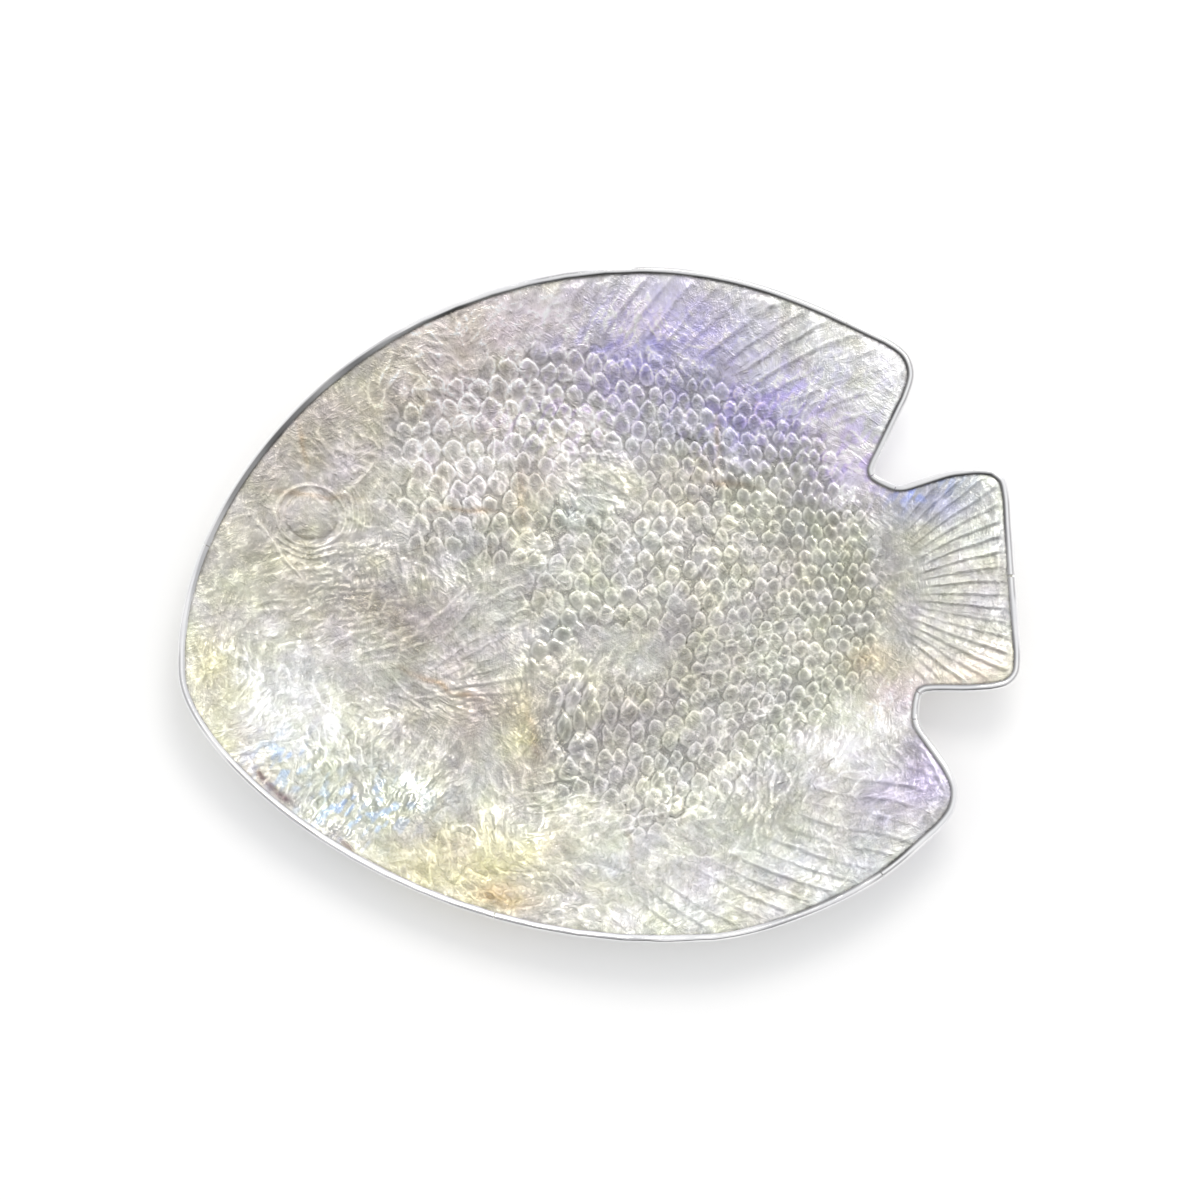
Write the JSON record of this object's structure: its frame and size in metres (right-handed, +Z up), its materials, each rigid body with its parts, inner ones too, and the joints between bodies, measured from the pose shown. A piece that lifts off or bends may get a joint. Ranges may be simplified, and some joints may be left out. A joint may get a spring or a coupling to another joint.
{
  "type": "display dish",
  "caption": "Shallow fish-shaped display dish of pressed pearl-shell leaves with an embossed fish relief and a thin polished metal rim.",
  "frame": {"origin": "centre of the overall box in plan, on the flat underside the dish stands on", "axes": "+X from the nose to the tail, +Y towards the dorsal fin, +Z up out of the dish"},
  "size_m": [0.2547, 0.2074, 0.0231],
  "materials": {
    "shell_face": "gloss",
    "resin": "gloss",
    "shell_back": "satin",
    "rim_metal": "polished"
  },
  "bodies": {
    "root": {"face_forehead": "shell_face", "face_snout": "shell_face", "face_chin": "shell_face", "face_throat": "shell_face", "face_shoulder": "shell_face", "face_cheek": "shell_face", "face_nape": "shell_face", "face_mid_body": "shell_face", "face_mid_belly": "shell_face", "face_low_belly": "shell_face", "face_dorsal_front": "shell_face", "face_dorsal_rear": "shell_face", "face_flank": "shell_face", "face_rear_belly": "shell_face", "face_anal_fin": "shell_face", "face_tail": "shell_face", "bond_film": "resin", "back_head": "shell_back", "back_chin": "shell_back", "back_shoulder": "shell_back", "back_centre": "shell_back", "back_belly": "shell_back", "back_dorsal": "shell_back", "back_flank": "shell_back", "back_anal": "shell_back", "back_tail": "shell_back", "rim_back": "rim_metal", "rim_dorsal_tip": "rim_metal", "rim_upper_notch": "rim_metal", "rim_tail_upper": "rim_metal", "rim_tail_lower": "rim_metal", "rim_lower_notch": "rim_metal", "rim_anal_tip": "rim_metal", "rim_belly": "rim_metal", "rim_chin": "rim_metal"}
  },
  "joints": []
}
